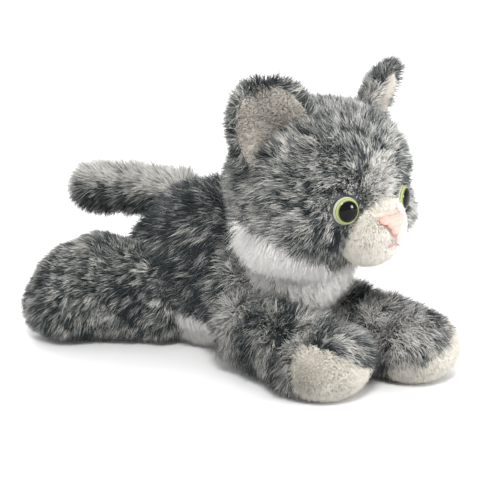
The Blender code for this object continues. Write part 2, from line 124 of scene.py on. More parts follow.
def shapes():
    """Ellipsoids (centre, half sizes, turn) that make up the skin of each body."""
    one = np.eye(3)
    found = {
        "torso": [
            (np.array((0, 11, 38.5)), (32.5, 36.5, 40.5), one),
            (np.array((0, -28, 31)), (25, 20, 28.5), one),
            (np.array((6, -43, 41)), (26, 15.5, 19), one),
            (np.array((13, -24, 31)), (16, 18, 24), one),
            (np.array((-13, -24, 31)), (16, 18, 24), one),
            (np.array((14, 30, 33)), (20, 20, 31), one),
            (np.array((-14, 30, 33)), (20, 20, 31), one),
        ],
        "head": [
            (HEAD_AT, (41.5, 37, 33.5), HEAD_TURNED),
            (on_head(21, -8, -13), (21, 25, 19), HEAD_TURNED),
            (on_head(-21, -8, -13), (21, 25, 19), HEAD_TURNED),
            (on_head(0, 4, -18), (37, 31, 23), HEAD_TURNED),
            (on_head(0, -7, 7), (35.5, 31.5, 25.5), HEAD_TURNED),
            (on_head(0, -10, -4), (37, 28, 24), HEAD_TURNED),
        ],
    }
    for side in SIDES:
        found["front_leg_" + side] = leg_balls(side, False)
        found["hind_leg_" + side] = leg_balls(side, True)
    along = rot("Z", TAIL_SIDE) @ np.array((0, 1.0, 0))
    found["tail"] = [
        (TAIL_ROOT + along * t + np.array((0, 0, z)), (r, r, r), one)
        for t, z, r in ((-6, 1, 9.8), (10, 1.4, 9.6), (24, 1, 9.6), (38, 0.2, 9.2), (45, 0, 9),
                        (50, -0.2, 8.4))
    ]
    return found


SHAPES = shapes()
FLOOR_GAP = 0.6 * MM   # a skin rests this far above the floor
FRAMES = 18            # length of the cloth run
CLOTH_VOXEL = 4.2 * MM
START_SIZE = 0.985     # the cover starts this much smaller, and swells
MOST_PUFF = 1.3 * MM


def inside(points, balls, margin):
    """Which points lie inside any ellipsoid, at least the margin deep."""
    hit = np.zeros(len(points), bool)
    for centre, radii, turn in balls:
        local = (points - centre) @ turn
        hit |= ((local / (np.array(radii) - margin)) ** 2).sum(axis=1) < 1
    return hit


def link(name, mesh):
    obj = bpy.data.objects.new(name, mesh)
    bpy.context.scene.collection.objects.link(obj)
    return obj


def applied(obj, name):
    """The object's evaluated mesh, kept as plain vertices; modifiers go."""
    graph = bpy.context.evaluated_depsgraph_get()
    mesh = bpy.data.meshes.new_from_object(obj.evaluated_get(graph))
    obj.modifiers.clear()
    obj.data = mesh
    mesh.name = name
    return obj


def ellipsoids(name, balls, subdivisions):
    """One object with a closed surface for each ellipsoid."""
    bm = bmesh.new()
    for centre, radii, turn in balls:
        made = bmesh.ops.create_icosphere(bm, subdivisions=subdivisions, radius=1.0)
        place = Matrix.Translation(Vector(centre) * MM)
        place = place @ Matrix(turn.tolist()).to_4x4() @ Matrix.Diagonal((*[r * MM for r in radii], 1))
        bmesh.ops.transform(bm, matrix=place, verts=made["verts"])
    mesh = bpy.data.meshes.new(name)
    bm.to_mesh(mesh)
    bm.free()
    return link(name, mesh)


def blob(name, balls, voxel=2.6, rounds=6, puff=True):
    """One smooth closed skin round several ellipsoids, flattened where it rests on the floor."""
    obj = ellipsoids(name, balls, 4)
    remesh = obj.modifiers.new("remesh", "REMESH")
    remesh.mode = "VOXEL"
    remesh.voxel_size = voxel * MM
    smooth = obj.modifiers.new("smooth", "SMOOTH")
    smooth.iterations = rounds
    applied(obj, name)
    points = vertices(obj)
    points[:, 2] = np.maximum(points[:, 2], FLOOR_GAP)
    obj.data.vertices.foreach_set("co", points.ravel())
    obj.data.update()
    if puff:
        inflate(obj)
    obj.data.shade_smooth()
    return obj


def inflate(obj):
    """Lets the stuffing push the cover out in a short cloth run; the change stays small."""
    even = obj.modifiers.new("even", "REMESH")
    even.mode = "VOXEL"
    even.voxel_size = CLOTH_VOXEL
    applied(obj, obj.name)
    start = vertices(obj)
    middle = start.mean(axis=0)
    obj.data.vertices.foreach_set("co", (middle + (start - middle) * START_SIZE).ravel())
    obj.data.update()
    cloth = obj.modifiers.new("cloth", "CLOTH")
    cloth.settings.quality = 5
    cloth.settings.mass = 0.12
    cloth.settings.tension_stiffness = 12
    cloth.settings.compression_stiffness = 12
    cloth.settings.bending_stiffness = 0.4
    cloth.settings.use_pressure = True
    cloth.settings.uniform_pressure_force = 4
    cloth.settings.effector_weights.gravity = 0
    cloth.point_cache.frame_start = 1
    cloth.point_cache.frame_end = FRAMES
    for frame_number in range(1, FRAMES + 1):
        bpy.context.scene.frame_set(frame_number)
    applied(obj, obj.name)
    moved = vertices(obj) - start
    length = np.linalg.norm(moved, axis=1)[:, None]
    points = start + moved * np.minimum(1, MOST_PUFF / np.maximum(length, 1e-9))
    points[:, 2] = np.maximum(points[:, 2], FLOOR_GAP)
    obj.data.vertices.foreach_set("co", points.ravel())
    bpy.context.scene.frame_set(1)
    finer = obj.modifiers.new("finer", "SUBSURF")
    finer.levels = 1
    finer.render_levels = 1
    applied(obj, obj.name)


def vertices(obj):
    points = np.empty(len(obj.data.vertices) * 3)
    obj.data.vertices.foreach_get("co", points)
    return points.reshape(-1, 3)


class Waves:
    """Smooth random field over space, from a few sine waves."""

    def __init__(self, seed, shortest, longest, count=14):
        rng = np.random.default_rng(seed)
        way = rng.normal(size=(count, 3))
        way /= np.linalg.norm(way, axis=1)[:, None]
        length = rng.uniform(shortest, longest, count)
        self.k = way * (2 * np.pi / length)[:, None]
        self.phase = rng.uniform(0, 2 * np.pi, count)

    def __call__(self, points):
        return np.sin(points @ self.k.T + self.phase).sum(axis=1) / math.sqrt(len(self.phase) / 2)


def surface_samples(obj, per_mm2, rng):
    """Random points on a mesh, with their normals, in millimetres."""
    mesh = obj.data
    mesh.calc_loop_triangles()
    tris = np.empty(len(mesh.loop_triangles) * 3, np.int32)
    mesh.loop_triangles.foreach_get("vertices", tris)
    tris = tris.reshape(-1, 3)
    points = vertices(obj) / MM
    normals = np.empty(len(mesh.vertices) * 3)
    mesh.vertex_normals.foreach_get("vector", normals)
    normals = normals.reshape(-1, 3)
    a, b, c = (points[tris[:, i]] for i in range(3))
    area = np.linalg.norm(np.cross(b - a, c - a), axis=1) / 2
    count = int(area.sum() * per_mm2)
    pick = rng.choice(len(tris), count, p=area / area.sum())
    u, v = rng.random(count), rng.random(count)
    flip = u + v > 1
    u[flip], v[flip] = 1 - u[flip], 1 - v[flip]
    w = 1 - u - v
    corner = tris[pick]
    where = a[pick] * w[:, None] + b[pick] * u[:, None] + c[pick] * v[:, None]
    out = normals[corner[:, 0]] * w[:, None] + normals[corner[:, 1]] * u[:, None]
    out += normals[corner[:, 2]] * v[:, None]
    return where, unit(out)


def unit(v):
    return v / np.maximum(np.linalg.norm(v, axis=1), 1e-9)[:, None]


def nearest_clump(roots, centres):
    tree = kdtree.KDTree(len(centres))
    for i, point in enumerate(centres):
        tree.insert(point, i)
    tree.balance()
    return np.array([tree.find(point)[1] for point in roots])


MOST_STRANDS = 20000   # in one piece
MOST_BRIGHT = 0.95

# A strand has three points at its root, three half way up and one at its tip.
SIDE_TURNS = (math.pi / 2, math.pi / 2 + 2.094, math.pi / 2 + 4.189)
STRAND_POINTS = 7
QUADS = np.array(((0, 1, 4, 3), (1, 2, 5, 4), (2, 0, 3, 5)))
ENDS = np.array(((3, 4, 6), (4, 5, 6), (5, 3, 6)))
FACE_STARTS = np.array((0, 4, 8, 12, 15, 18))
FACE_SIZES = np.array((4, 4, 4, 3, 3, 3))
STRAND_LOOPS = 21


def strand_points(root, mid, tip, skin_normal, width):
    """Points and normals of tapered three-sided strands."""
    count = len(root)
    along = unit(tip - root)
    side = unit(np.cross(along, skin_normal) + 1e-4)
    other = np.cross(along, side)
    points = np.empty((count, STRAND_POINTS, 3))
    normals = np.empty((count, STRAND_POINTS, 3))
    for i, turn in enumerate(SIDE_TURNS):
        out = side * math.cos(turn) + other * math.sin(turn)
        points[:, i] = root + out * (width * 0.5)[:, None]
        points[:, 3 + i] = mid + out * (width * 0.42)[:, None]
        normals[:, i] = normals[:, 3 + i] = unit(out * 0.55 + skin_normal)
    points[:, 6] = tip
    normals[:, 6] = skin_normal
    return points, normals


def strand_tints(colours, shade):
    """Colours of a strand's points: root, middle and tip are scaled apart; the darker root is partly painted
    shade deep in the pile and partly the fibre's own darker root.
    """
    tints = np.ones((len(colours), STRAND_POINTS, 4))
    tints[:, :3, :3] = (colours * shade[0])[:, None, :]
    tints[:, 3:6, :3] = np.minimum(colours * shade[1], MOST_BRIGHT)[:, None, :]
    tints[:, 6, :3] = np.minimum(colours * shade[2], MOST_BRIGHT)
    return tints


def strand_mesh(name, points, normals, tints):
    """Mesh of many strands, each a tapered tube with an open root."""
    count = len(points)
    base = np.arange(count)[:, None] * STRAND_POINTS
    sides = (base[:, :, None] + QUADS).reshape(count, QUADS.size)
    tips = (base[:, :, None] + ENDS).reshape(count, ENDS.size)
    loops = np.concatenate((sides, tips), axis=1)
    starts = np.arange(count)[:, None] * STRAND_LOOPS + FACE_STARTS
    mesh = bpy.data.meshes.new(name)
    mesh.vertices.add(count * STRAND_POINTS)
    mesh.vertices.foreach_set("co", (points * MM).ravel())
    mesh.loops.add(count * STRAND_LOOPS)
    mesh.loops.foreach_set("vertex_index", loops.ravel().astype(np.int32))
    mesh.polygons.add(count * len(FACE_SIZES))
    mesh.polygons.foreach_set("loop_start", starts.ravel().astype(np.int32))
    mesh.polygons.foreach_set("loop_total", np.tile(FACE_SIZES, count).astype(np.int32))
    tint = mesh.color_attributes.new("tint", "BYTE_COLOR", "POINT")
    tint.data.foreach_set("color", tints.ravel())
    add_cells(mesh, count)
    mesh.update()
    mesh.polygons.foreach_set("use_smooth", np.ones(count * len(FACE_SIZES), bool))
    mesh.normals_split_custom_set_from_vertices(normals.reshape(-1, 3))
    return mesh


def strand_meshes(name, body, look, root, mid, tip, skin_normal, width, colours, shade):
    """Strands as pieces that ride on a body, at most MOST_STRANDS to a piece."""
    for part, start in enumerate(range(0, len(root), MOST_STRANDS)):
        pick = slice(start, start + MOST_STRANDS)
        points, normals = strand_points(root[pick], mid[pick], tip[pick], skin_normal[pick], width[pick])
        mesh = strand_mesh(name, points, normals, strand_tints(colours[pick], shade))
        mesh.materials.append(look)
        obj = link(f"{name}_{part + 1}" if len(root) > MOST_STRANDS else name, mesh)
        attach(obj, body)


def add_cells(mesh, count):
    """Flat layout in which each strand has a small square of its own, root to tip."""
    across = math.ceil(math.sqrt(count))
    size = 1.0 / across
    index = np.arange(count)
    corner = np.stack((index % across, index // across), axis=1) * size
    u = np.array((0.1, 0.5, 0.5, 0.1, 0.3, 0.7, 0.7, 0.3, 0.5, 0.9, 0.9, 0.5,
                  0.1, 0.5, 0.3, 0.4, 0.8, 0.6, 0.5, 0.9, 0.7))
    v = np.array((0.1, 0.1, 0.5, 0.5, 0.1, 0.1, 0.5, 0.5, 0.1, 0.1, 0.5, 0.5,
                  0.5, 0.5, 0.9, 0.5, 0.5, 0.9, 0.5, 0.5, 0.9))
    cells = corner[:, None, :] + np.stack((u, v), axis=1)[None] * size
    layer = mesh.uv_layers.new(name="OFBake")
    layer.data.foreach_set("uv", cells.astype(np.float32).ravel())


# Brightness of a strand at its root, its middle and its tip. The darker root is partly painted shade deep in
# the pile and partly the fibre's own darker root; the tip is lighter.
GREY_TICKING_AND_SHADE = (0.45, 0.90, 1.20)
PALE_TICKING_AND_SHADE = (0.78, 0.96, 1.04)


def grow_fur(name, skin, body, look, rule, per_mm2, seed, length, width=0.34,
             lift=0.8, clump=0.5, clump_size=8, bend=0.35, shade=GREY_TICKING_AND_SHADE):
    """Grows strands on a skin.

    rule(points, normals, rng) gives which points keep a strand and the way each one is combed; called
    again with the lead strand of each clump, it gives the colours and the length factors.
    """
    rng = np.random.default_rng(seed)
    root, normal = surface_samples(skin, per_mm2, rng)
    keep, comb, _, _ = rule(root, normal, rng)
    root, normal, comb = root[keep], normal[keep], comb[keep]
    count = len(root)
    comb = comb - normal * (comb * normal).sum(axis=1)[:, None]
    swirl = np.stack([Waves(seed + i, 12, 40)(root) for i in (1, 2, 3)], axis=1) * 0.22
    direction = unit(normal * lift + comb + swirl + rng.normal(size=(count, 3)) * 0.28)
    centres = rng.choice(count, max(1, count // clump_size), replace=False)
    member = nearest_clump(root, root[centres])
    lead = centres[member]
    colour, factor = rule(root, normal, rng, lead, centres, member)
    reach = length * factor * rng.uniform(0.72, 1.08, count)
    reach *= 1 + 0.3 * (rng.random(count) < 0.1)
    drop = np.array((0, 0, -1.0))
    second = unit(direction + comb * bend + drop * 0.18 + rng.normal(size=(count, 3)) * 0.10)
    mid = root + direction * (reach * 0.5)[:, None]
    tip = mid + second * (reach * 0.5)[:, None]
    pull = (clump * rng.uniform(0.5, 1.0, count))[:, None]
    tip += (tip[lead] - tip) * pull
    mid += (mid[lead] - mid) * pull * 0.45
    mid[:, 2] = np.maximum(mid[:, 2], 0.3)
    tip[:, 2] = np.maximum(tip[:, 2], 0.2)
    wide = width * rng.uniform(0.75, 1.2, count)
    strand_meshes(name, body, look, root, mid, tip, normal, wide, colour, shade)


def smooth_step(x, low, high):
    t = np.clip((x - low) / (high - low), 0, 1)
    return t * t * (3 - 2 * t)


def near_band(values, middle, half):
    """1 in the middle of a band of values, falling to 0 at its edges."""
    return 1 - smooth_step(np.abs(values - middle), half * 0.5, half)


class Mottle:
    """Space-dyed pile: patches and single tufts of slate, steel, taupe and pale strands."""

    def __init__(self, seed, dark):
        self.broad = Waves(seed, 22, 46)
        self.fine = Waves(seed + 50, 5, 12)
        self.dark = dark

    def __call__(self, points, rng, lead, centres, member, extra=0.0):
        spot = points[lead]
        tuft = rng.normal(size=len(centres))[member]
        value = self.broad(spot) * 0.18 + self.fine(spot) * 0.30 + tuft * 0.48
        value = value + rng.normal(size=len(points)) * 0.52 + self.dark + extra
        dark = smooth_step(value, -0.05, 0.6)[:, None]
        light = smooth_step(-value, 0.0, 0.8)[:, None]
        very = smooth_step(-value, 0.8, 1.5)[:, None]
        colour = STEEL * (1 - dark) + SLATE * dark
        colour = colour * (1 - light) + TAUPE * light
        colour = colour * (1 - very) + PALE * very
        return colour * rng.uniform(0.85, 1.15, len(points))[:, None]


def plain(colour, rng, count, lead):
    """One colour, varied a little by strand and by clump."""
    shade = rng.uniform(0.9, 1.06, count) * rng.uniform(0.94, 1.04, count)[lead]
    return np.minimum(colour * shade[:, None], MOST_BRIGHT)


def near_line(points, ends, radius):
    """1 on the line between two points, falling to 0 at the radius."""
    a, b = np.array(ends[0], float), np.array(ends[1], float)
    t = np.clip(((points - a) @ (b - a)) / ((b - a) @ (b - a)), 0, 1)
    away = np.linalg.norm(points - a - t[:, None] * (b - a), axis=1)
    return 1 - smooth_step(away, radius * 0.45, radius)


def shader_of(name, colour, roughness, specular=0.3, sheen=0.0):
    look = bpy.data.materials.new(name)
    look.use_nodes = True
    shader = look.node_tree.nodes["Principled BSDF"]
    shader.inputs["Base Color"].default_value = (*colour, 1)
    shader.inputs["Roughness"].default_value = roughness
    shader.inputs["Specular IOR Level"].default_value = specular
    shader.inputs["Sheen Weight"].default_value = sheen
    shader.inputs["Sheen Roughness"].default_value = 0.5
    return look, look.node_tree, shader


def node(tree, kind, **values):
    made = tree.nodes.new(kind)
    for key, value in values.items():
        if key in made.inputs:
            made.inputs[key].default_value = value
        else:
            setattr(made, key, value)
    return made


def pile_look(name, roughness=0.72, specular=0.22, sheen=0.25, low=0.82, high=1.12):
    """Strand colour from the mesh, varied by fine noise so that no two tufts match."""
    look, tree, shader = shader_of(name, (0.5, 0.5, 0.5), roughness, specular, sheen)
    tint = node(tree, "ShaderNodeAttribute", attribute_name="tint")
    where = node(tree, "ShaderNodeTexCoord")
    noise = node(tree, "ShaderNodeTexNoise", Scale=420.0, Detail=2.0)
    span = node(tree, "ShaderNodeMapRange")
    span.inputs["To Min"].default_value = low
    span.inputs["To Max"].default_value = high
    mix = node(tree, "ShaderNodeVectorMath", operation="SCALE")
    tree.links.new(where.outputs["Object"], noise.inputs["Vector"])
    tree.links.new(noise.outputs["Fac"], span.inputs["Value"])
    tree.links.new(tint.outputs["Color"], mix.inputs[0])
    tree.links.new(span.outputs["Result"], mix.inputs["Scale"])
    tree.links.new(mix.outputs["Vector"], shader.inputs["Base Color"])
    return look


def backing_look(name, dark, light, scale=160.0):
    """Knitted backing seen between the strands."""
    look, tree, shader = shader_of(name, dark, 0.95, 0.1, 0.2)
    where = node(tree, "ShaderNodeTexCoord")
    noise = node(tree, "ShaderNodeTexNoise", Scale=scale, Detail=4.0)
    ramp = node(tree, "ShaderNodeValToRGB")
    ramp.color_ramp.elements[0].position = 0.38
    ramp.color_ramp.elements[0].color = (*dark, 1)
    ramp.color_ramp.elements[1].position = 0.62
    ramp.color_ramp.elements[1].color = (*light, 1)
    bump = node(tree, "ShaderNodeBump", Strength=0.5, Distance=0.0006)
    tree.links.new(where.outputs["Object"], noise.inputs["Vector"])
    tree.links.new(noise.outputs["Fac"], ramp.inputs["Fac"])
    tree.links.new(ramp.outputs["Color"], shader.inputs["Base Color"])
    tree.links.new(noise.outputs["Fac"], bump.inputs["Height"])
    tree.links.new(bump.outputs["Normal"], shader.inputs["Normal"])
    return look


PILE = pile_look("pile", 0.75, 0.2, 0.06)
SHORT_PILE = pile_look("short_pile", 0.85, 0.15, 0.1, 0.92, 1.06)
GREY_BACK = backing_look("grey_backing", (0.035, 0.042, 0.045), (0.12, 0.13, 0.13))
WHITE_BACK = backing_look("white_backing", (0.42, 0.40, 0.37), (0.62, 0.60, 0.56))
CREAM_BACK = backing_look("cream_backing", (0.46, 0.42, 0.35), (0.60, 0.56, 0.48))
BEIGE_BACK = backing_look("beige_backing", (0.26, 0.23, 0.20), (0.36, 0.33, 0.29))


def wear(obj, look, body):
    """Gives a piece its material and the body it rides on."""
    obj.data.materials.clear()
    obj.data.materials.append(look)
    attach(obj, body)


def others(*names):
    """Ellipsoids of the named bodies."""
    return [ball for key, balls in SHAPES.items() if key in names for ball in balls]


# Torso ---------------------------------------------------------------------

def torso_zones(points):
    """(white belly, white bib) on the torso."""
    belly = (points[:, 2] < 21 + Waves(7, 15, 30)(points) * 1.5) & (points[:, 1] > -34)
    bib = (points[:, 1] < -33) & (np.abs(points[:, 0] - 7) < 27)
    return belly, bib


def torso_rule(want_white):
    """Pile of the trunk: the white panels, or the grey ones with a pale patch at each shoulder."""
    mottle = Mottle(11, 0.62)

    def rule(points, normal, rng, lead=None, centres=None, member=None):
        if lead is None:
            belly, bib = torso_zones(points)
            white = belly | bib
            keep = white if want_white else ~white
            keep &= ~inside(points, others("head"), 3)
            keep &= ~inside(points, others(*[k for k in SHAPES if "leg" in k]), 3.5)
            keep &= points[:, 2] > 1.2
            comb = np.zeros_like(points) + np.array((0, 0.42, -0.42))
            comb[:, 0] += np.sign(points[:, 0]) * 0.12
            if want_white:
                comb = np.zeros_like(points) + np.array((0, -0.1, -0.7))
            return keep, comb, None, None
        if want_white:
            return plain(WHITE * 0.97, rng, len(points), lead), np.full(len(points), 1.0)
        mirrored = np.stack((-np.abs(points[:, 0]), points[:, 1], points[:, 2]), axis=1)
        shoulder = near_line(mirrored, ((-32, -38, 40), (-30, -26, 56)), 17)
        colour = mottle(points, rng, lead, centres, member, -1.25 * shoulder)
        return colour, np.full(len(points), 1.0)

    return rule


def build_torso():
    skin = blob("torso_skin", SHAPES["torso"])
    wear(skin, GREY_BACK, "torso")
    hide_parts("body_side_left", "body_side_right", "belly_panel", "chest_bib",
                "body_stuffing", "pellet_bag")
    grow_fur("torso_fur", skin, "torso", PILE, torso_rule(False), 3.0, 21, 9.0)
    grow_fur("torso_white_fur", skin, "torso", PILE, torso_rule(True), 3.2, 22, 8.0,
             shade=PALE_TICKING_AND_SHADE)


# Legs and tail -------------------------------------------------------------

def toe_zone(points, side):
    """How far each point lies past the toe seam of a front paw, in millimetres."""
    start, along, _ = leg_line(side, False)
    middle = start + along * PAW_REACH[side] + np.array((0, 0, PAW_MIDDLE))
    local = points - middle
    below = (TOE_HIGH + TOE_SLOPE * SIDES[side] * local[:, 0] - local[:, 2]) / 1.12
    ahead = local @ along + TOE_BACK
    return -TOE_ROUND * np.logaddexp(-below / TOE_ROUND, -ahead / TOE_ROUND)


def leg_rule(side, hind, toes):
    """Pile of a leg, or of its toe panel: barred grey or plain cream."""
    start, along, turn = leg_line(side, hind)
    dark = HIND_DARK if hind else FRONT_DARK[side]
    mottle = Mottle(31 + 7 * hind + (side == "left"), dark)

    def rule(points, normal, rng, lead=None, centres=None, member=None):
        past = np.full(len(points), -1.0) if hind else toe_zone(points, side)
        if lead is None:
            keep = past > 0 if toes else past <= 0.5
            keep &= ~inside(points, others("torso"), 4)
            keep &= ~inside(points, others("head"), 3)
            keep &= points[:, 2] > 0.9
            comb = np.zeros_like(points) + along * 0.45 + np.array((0, 0, -0.22))
            if toes:
                comb = np.zeros_like(points) + along * 0.2 + np.array((0, 0, -0.15))
            return keep, comb, None, None
        if toes:
            return plain(CREAM, rng, len(points), lead), np.full(len(points), 1.0)
        local = (points - start) @ turn
        t = local[:, 1] * (1 if hind else -1)
        bars = np.sin((t + local[:, 0] * 0.5) * 2 * np.pi / BAR_LENGTH + 0.6) * BAR_DEPTH
        colour = mottle(points, rng, lead, centres, member, bars * (0.3 if hind else 1.0))
        short = smooth_step(past, -9, 0.5) * 0.3
        return colour, 1 - short

    return rule


BAR_LENGTH, BAR_DEPTH = 21.0, 0.6
HIND_DARK = 0.05
FRONT_DARK = {"left": -0.55, "right": -0.12}


def build_legs():
    for side in SIDES:
        for hind in (False, True):
            kind = "hind_leg_" if hind else "front_leg_"
            body = kind + side
            skin = blob(body + "_skin", SHAPES[body])
            wear(skin, GREY_BACK, body)
            gone = [kind + "cover_" + side, kind + "stuffing_" + side]
            if not hind:
                gone.append("front_toe_panel_" + side)
            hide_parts(*gone)
            grow_fur(body + "_fur", skin, body, PILE, leg_rule(side, hind, False),
                     3.0, 40 + hind + 5 * (side == "left"), 8.6)
            if not hind:
                build_toes(side, skin, body)


def build_toes(side, skin, body):
    """Short-pile toe panel, on its own skin over the front of the paw."""
    bm = bmesh.new()
    bm.from_mesh(skin.data)
    co = np.array([v.co for v in bm.verts]) / MM
    past = toe_zone(co, side)
    gone = [f for f in bm.faces if all(past[v.index] < 0.0 for v in f.verts)]
    bmesh.ops.delete(bm, geom=gone, context="FACES")
    bm.normal_update()
    for v in bm.verts:
        v.co += v.normal * 1.6 * MM
        v.co.z = max(v.co.z, 0.4 * MM)
    mesh = bpy.data.meshes.new("toe")
    bm.to_mesh(mesh)
    bm.free()
    panel = link("toe_panel_" + side, mesh)
    solid = panel.modifiers.new("thick", "SOLIDIFY")
    solid.thickness = 1.4 * MM
    solid.offset = -1
    applied(panel, panel.name)
    panel.data.shade_smooth()
    wear(panel, CREAM_BACK, body)
    # The last numbers darken the strand roots: partly painted shade deep in the pile, partly the fibre's own
    # darker roots.
    grow_fur(body + "_toe_fur", panel, body, SHORT_PILE, leg_rule(side, False, True),
             6.5, 70 + (side == "left"), 2.6, 0.30, 0.9, 0.45, 8, 0.2, (0.66, 0.88, 1.0))


TAIL_MOTTLE = Mottle(61, -0.16)


def tail_rule(points, normal, rng, lead=None, centres=None, member=None):
    along = rot("Z", TAIL_SIDE) @ np.array((0, 1.0, 0))
    if lead is None:
        keep = ~inside(points, others("torso"), 3)
        comb = np.zeros_like(points) + along * 0.5
        return keep, comb, None, None
    height = points[:, 2] - TAIL_ROOT[2]
    # Painted light: the top of the tail is lighter, as lit from above. Below it a darker band runs along the
    # side, and the end of the tail is lighter.
    extra = -0.9 * smooth_step(height, 1, 7) + 0.5 * near_band(height, -2.5, 5.0)
    extra -= 0.9 * smooth_step((points - TAIL_ROOT) @ along, 47, 58)
    return TAIL_MOTTLE(points, rng, lead, centres, member, extra), np.full(len(points), 1.0)


def build_tail():
    skin = blob("tail_skin", SHAPES["tail"], 1.8, 4)
    wear(skin, GREY_BACK, "tail")
    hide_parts("tail_cover", "tail_stuffing")
    grow_fur("tail_fur", skin, "tail", PILE, tail_rule, 4.0, 81, 9.0, lift=1.3, bend=0.15)


# Head ------------------------------------------------------------------------

MUZZLE = (np.array((2.6, -28.4, -18.0)), np.array((15.8, 15.3, 16.5)))
FACE_SHIFT, FACE_OUT = 0.8, 1.7  # where the nose and the mouth sit on the muzzle
CHIN_EDGE, RUFF_RISE = -38, 24   # height of the ruff's edge under the chin, and its rise towards the sides
EYE_CLEAR = 7.0                  # no long pile grows this near to the middle of an eye


def eye_distance(p):
    """Distance from the nearer eye, for points seen from the middle of the unturned head."""
    mirrored = np.stack((np.abs(p[:, 0]), p[:, 1], p[:, 2]), axis=1)
    return np.linalg.norm(mirrored - np.array(EYE_AT), axis=1)


def head_zones(points):
    """(white ruff, under the muzzle panel) on the head."""
    p = from_head(points)
    round_head = np.degrees(np.arctan2(np.abs(p[:, 0]), -p[:, 1]))
    front = CHIN_EDGE + RUFF_RISE * smooth_step(round_head, 5, 105)
    behind = np.minimum(-33 + 0.0125 * p[:, 0] ** 2, -13.5)
    edge = np.where(round_head < 106, front, behind) + 0.9 * Waves(5, 18, 40)(points)
    ruff = p[:, 2] < edge
    muzzle = (((p - MUZZLE[0]) / (MUZZLE[1] + 0.5)) ** 2).sum(axis=1) < 1
    return ruff, muzzle


HEAD_MOTTLE = Mottle(91, -0.22)

# Dark streaks of the face, mirrored: (start, end, radius, weight).
STREAKS = tuple(
    ((tuple(sign * c if k == 0 else c for k, c in enumerate(a)),
      tuple(sign * c if k == 0 else c for k, c in enumerate(b))), radius, weight)
    for sign in (-1, 1)
    for a, b, radius, weight in (
        ((17, -40, -1), (24, -35, 11), 4.5, 1.35),
        ((24, -35, 11), (29, -24, 23), 4.5, 1.1),
        ((5, -41, 11), (9, -33, 26), 3.5, 0.7),
        ((4, -42, 4), (6, -41, 12), 3.5, 0.7),
        ((19, -31, -26), (21, -33, -19), 5.5, 1.2),
        ((32, -29, -6), (42, -12, 0), 4.0, 0.7),
        ((36, -20, 15), (42, -4, 16), 4.5, 0.7),
        ((17, -24, 30), (22, -14, 33), 4.0, 0.6),
    )
)


def head_rule(want_white):
    """Pile of the head: the white ruff, or the grey pile with its streaks, short round the face."""
    def rule(points, normal, rng, lead=None, centres=None, member=None):
        p = from_head(points)
        if lead is None:
            ruff, muzzle = head_zones(points)
            keep = (ruff if want_white else ~ruff) & ~muzzle & (eye_distance(p) > EYE_CLEAR)
            keep &= ~inside(points, others("torso"), 4)
            out = p - np.array((0, -38.0, -8.0))
            comb = unit(out) @ HEAD_TURNED.T * 0.62
            if want_white:
                comb = np.array((0, 0.1, -0.5)) @ HEAD_TURNED.T + comb * 0.3
            return keep, comb, None, None
        if want_white:
            return plain(WHITE, rng, len(points), lead), np.full(len(points), 1.3)
        extra = np.zeros(len(p))
        for ends, radius, weight in STREAKS:
            extra += near_line(p, ends, radius) * weight
        bridge = near_line(p, ((0, -42, -4), (0, -40, 9)), 12.0)
        extra -= bridge * 1.5
        colour = HEAD_MOTTLE(points, rng, lead, centres, member, extra)
        face = 1 - smooth_step(np.linalg.norm(p - np.array((0, -40, -8)), axis=1), 16, 40)
        around = 1 - smooth_step(eye_distance(p), 7, 13)
        return colour, 1 - 0.5 * face - 0.25 * around

    return rule


def muzzle_rule(points, normal, rng, lead=None, centres=None, member=None):
    p = from_head(points)
    if lead is None:
        keep = (p[:, 1] < -24) & (eye_distance(p) >= 6.6)
        nose_half = 6.0 - np.maximum(0, -12 - p[:, 2]) * 0.7
        nose = (np.abs(p[:, 0] - FACE_SHIFT) < nose_half) & (np.abs(p[:, 2] + 14) < 5)
        keep &= ~nose
        out = p - np.array((0, -42.0, -13.0))
        comb = unit(out) @ HEAD_TURNED.T * 0.5
        return keep, comb, None, None
    colour = plain(WHITE * np.array((0.97, 0.94, 0.88)), rng, len(points), lead)
    return colour, np.full(len(points), 1.0)


def build_head():
    skin = blob("head_skin", SHAPES["head"])
    wear(skin, GREY_BACK, "head")
    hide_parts("head_side_left", "head_side_right", "forehead_gusset", "cheek_ruff",
                "head_stuffing")
    grow_fur("head_fur", skin, "head", PILE, head_rule(False), 4.2, 101, 7.2, 0.32)
    grow_fur("ruff_fur", skin, "head", PILE, head_rule(True), 4.0, 102, 8.6, 0.34,
             shade=PALE_TICKING_AND_SHADE)
    muzzle = ellipsoids("muzzle_skin", [(on_head(*MUZZLE[0]), MUZZLE[1], HEAD_TURNED)], 5)
    muzzle.data.shade_smooth()
    wear(muzzle, CREAM_BACK, "head")
    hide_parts("muzzle_panel")
    grow_fur("muzzle_fur", muzzle, "head", SHORT_PILE, muzzle_rule,
             8.5, 103, 2.4, 0.28, 0.8, 0.4, 8, 0.2, PALE_TICKING_AND_SHADE)


# Ears --------------------------------------------------------------------------

def ear_turn(side):
    """Turn of an ear: leant outwards, and its front turned outwards."""
    sign = SIDES[side]
    return HEAD_TURNED @ rot("Y", sign * EAR_LEAN) @ rot("Z", sign * EAR_YAW[side])


def ear_point(side, x, y, z):
    sign = SIDES[side]
    hinge = on_head(EAR_AT[0] * sign, EAR_AT[1], EAR_AT[2])
    return hinge + ear_turn(side) @ np.array((x, y, z))


EAR_LOW, EAR_TALL, EAR_HALF = -8.0, 33.5, 18.2


def ear_half(z):
    """Half width of the ear at a height above its hinge."""
    t = np.clip((z - EAR_LOW) / EAR_TALL, 0, 1)
    return EAR_HALF * (1 - t ** 3.0) ** 0.6 + 0.01


